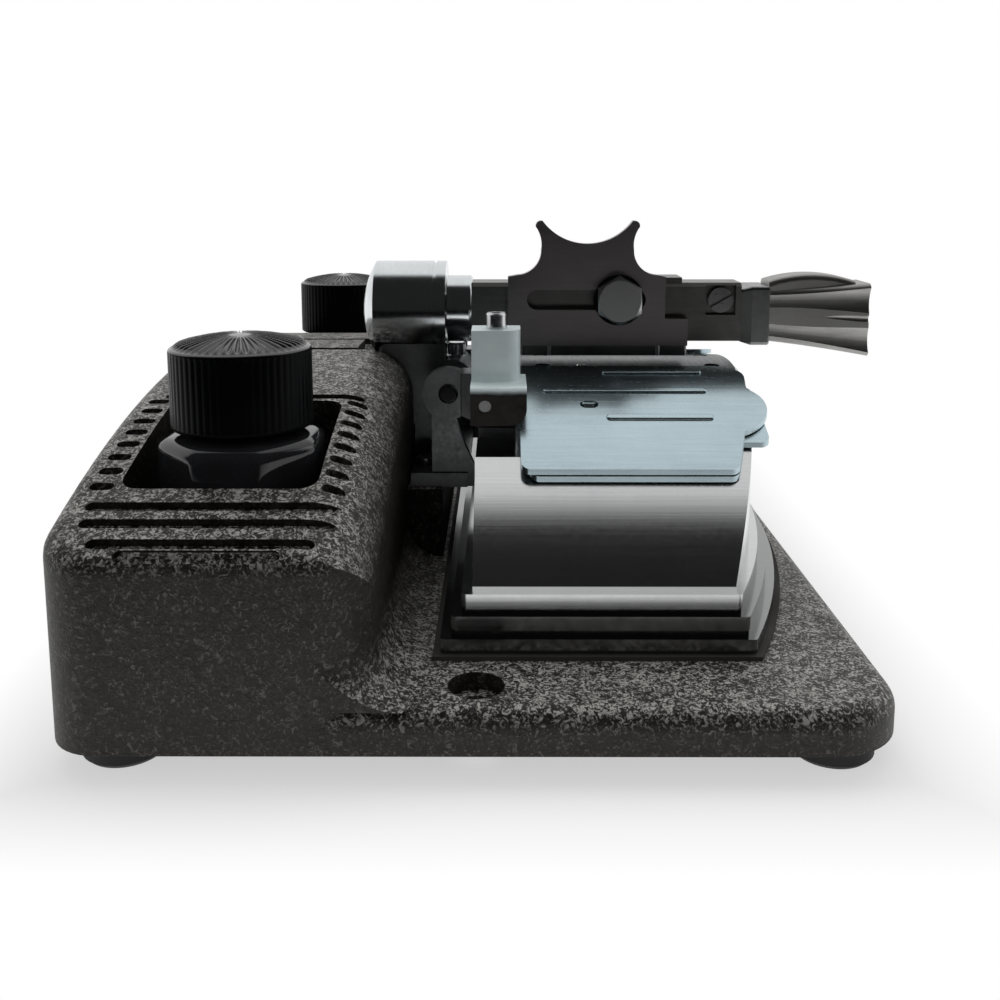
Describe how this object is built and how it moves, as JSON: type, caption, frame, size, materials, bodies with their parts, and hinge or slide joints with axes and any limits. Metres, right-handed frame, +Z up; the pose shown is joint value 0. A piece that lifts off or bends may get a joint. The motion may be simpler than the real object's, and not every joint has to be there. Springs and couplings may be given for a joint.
{
  "type": "film splicer",
  "caption": "Bench film splicer: arched heated block, hinged plates with film pins, scraper slide with horns on a swinging arm, and a cement bottle in each end of the cast hump",
  "frame": {"origin": "centre of the bounding box on the surface it stands on", "axes": "+X toward the operator, along the arm to its handle; +Y along the film to the right; +Z up"},
  "size_m": [0.2014, 0.242, 0.1077],
  "materials": {
    "base_paint": "crackle",
    "cover_steel": "satin",
    "screw_steel": "satin",
    "foot_rubber": "matte",
    "gasket": "matte",
    "block_aluminium": "satin",
    "plate_steel": "satin",
    "jaw_steel": "satin",
    "bright_steel": "polished",
    "dark_cap": "satin",
    "arm_metal": "satin",
    "handle_alloy": "brushed",
    "bronze": "satin",
    "blade_steel": "ground",
    "bottle_glass": "dark",
    "bottle_cap": "gloss",
    "electrical": "matte",
    "lead_sleeve": "matte",
    "heater_sheath": "satin"
  },
  "bodies": {
    "base": {"base_casting": "base_paint", "bottom_cover": "cover_steel", "cover_screws": "screw_steel", "rubber_feet": "foot_rubber", "foot_screws": "screw_steel", "cord_grommet": "foot_rubber", "block_gasket": "gasket", "film_block": "block_aluminium", "block_screws": "screw_steel", "heater_cartridge": "heater_sheath", "thermostat": "electrical", "terminal_block": "electrical", "heater_leads": "lead_sleeve", "centre_bed": "plate_steel", "bed_screws": "screw_steel", "bed_pins": "bright_steel", "hinge_bracket": "jaw_steel", "bracket_screws": "screw_steel", "main_shaft": "bright_steel", "shaft_caps": "dark_cap", "shaft_spacers": "bronze", "arm_post": "jaw_steel", "bearing_housing": "bright_steel", "arm_bushes": "bronze", "stop_screw": "screw_steel"},
    "arm": {"arm_shaft": "bright_steel", "arm_bar": "arm_metal", "arm_ferrule": "bright_steel", "arm_handle": "handle_alloy", "handle_screw": "screw_steel", "slide_bolt": "screw_steel", "bolt_washer": "dark_cap"},
    "scraper": {"scraper_slide": "arm_metal", "scraper_foot": "arm_metal", "scraper_blade": "blade_steel", "slide_screws": "screw_steel"},
    "left_lower_jaw": {"left_jaw_body": "jaw_steel", "left_film_plate": "plate_steel", "left_plate_screws": "screw_steel", "left_film_pin": "bright_steel", "left_hinge_pin": "bright_steel"},
    "left_upper_jaw": {"left_pressure_plate": "plate_steel", "left_hinge_block": "jaw_steel", "left_clamp_screws": "screw_steel", "left_tension_screw": "bright_steel"},
    "left_vessel": {"left_bottle": "bottle_glass"},
    "left_closure": {"left_cap": "bottle_cap", "left_applicator": "bottle_cap"},
    "right_lower_jaw": {"right_jaw_body": "jaw_steel", "right_film_plate": "plate_steel", "right_plate_screws": "screw_steel", "right_film_pin": "bright_steel", "right_hinge_pin": "bright_steel"},
    "right_upper_jaw": {"right_pressure_plate": "plate_steel", "right_hinge_block": "jaw_steel", "right_clamp_screws": "screw_steel", "right_tension_screw": "bright_steel"},
    "right_vessel": {"right_bottle": "bottle_glass"},
    "right_closure": {"right_cap": "bottle_cap", "right_applicator": "bottle_cap"}
  },
  "joints": [
    {"name": "left_jaw_lift", "type": "hinge", "parent": "base", "child": "left_lower_jaw", "pos_m": [-0.0228, -0.0216, 0.0608], "axis": [0, -1, 0], "range_deg": [0, 35]},
    {"name": "left_plate_open", "type": "hinge", "parent": "left_lower_jaw", "child": "left_upper_jaw", "pos_m": [-0.0123, -0.0406, 0.0614], "axis": [0, -1, 0], "range_deg": [0, 60]},
    {"name": "left_bottle_lift", "type": "slide", "parent": "base", "child": "left_vessel", "axis": [0, 0, 1], "range_m": [0, 0.06]},
    {"name": "left_cap_turn", "type": "hinge", "parent": "left_vessel", "child": "left_closure", "pos_m": [-0.0674, -0.079, 0.0728], "axis": [0, 0, 1], "continuous": true},
    {"name": "right_jaw_lift", "type": "hinge", "parent": "base", "child": "right_lower_jaw", "pos_m": [-0.0228, 0.0216, 0.0608], "axis": [0, -1, 0], "range_deg": [0, 35]},
    {"name": "right_plate_open", "type": "hinge", "parent": "right_lower_jaw", "child": "right_upper_jaw", "pos_m": [-0.0123, 0.0406, 0.0614], "axis": [0, -1, 0], "range_deg": [0, 60]},
    {"name": "right_bottle_lift", "type": "slide", "parent": "base", "child": "right_vessel", "axis": [0, 0, 1], "range_m": [0, 0.06]},
    {"name": "right_cap_turn", "type": "hinge", "parent": "right_vessel", "child": "right_closure", "pos_m": [-0.0674, 0.079, 0.0728], "axis": [0, 0, 1], "continuous": true},
    {"name": "arm_roll", "type": "hinge", "parent": "base", "child": "arm", "pos_m": [0, 0.0008, 0.081], "axis": [-1, 0, 0], "range_deg": [0, 45]},
    {"name": "slide_travel", "type": "slide", "parent": "arm", "child": "scraper", "axis": [1, 0, 0], "range_m": [-0.0045, 0.016]}
  ]
}
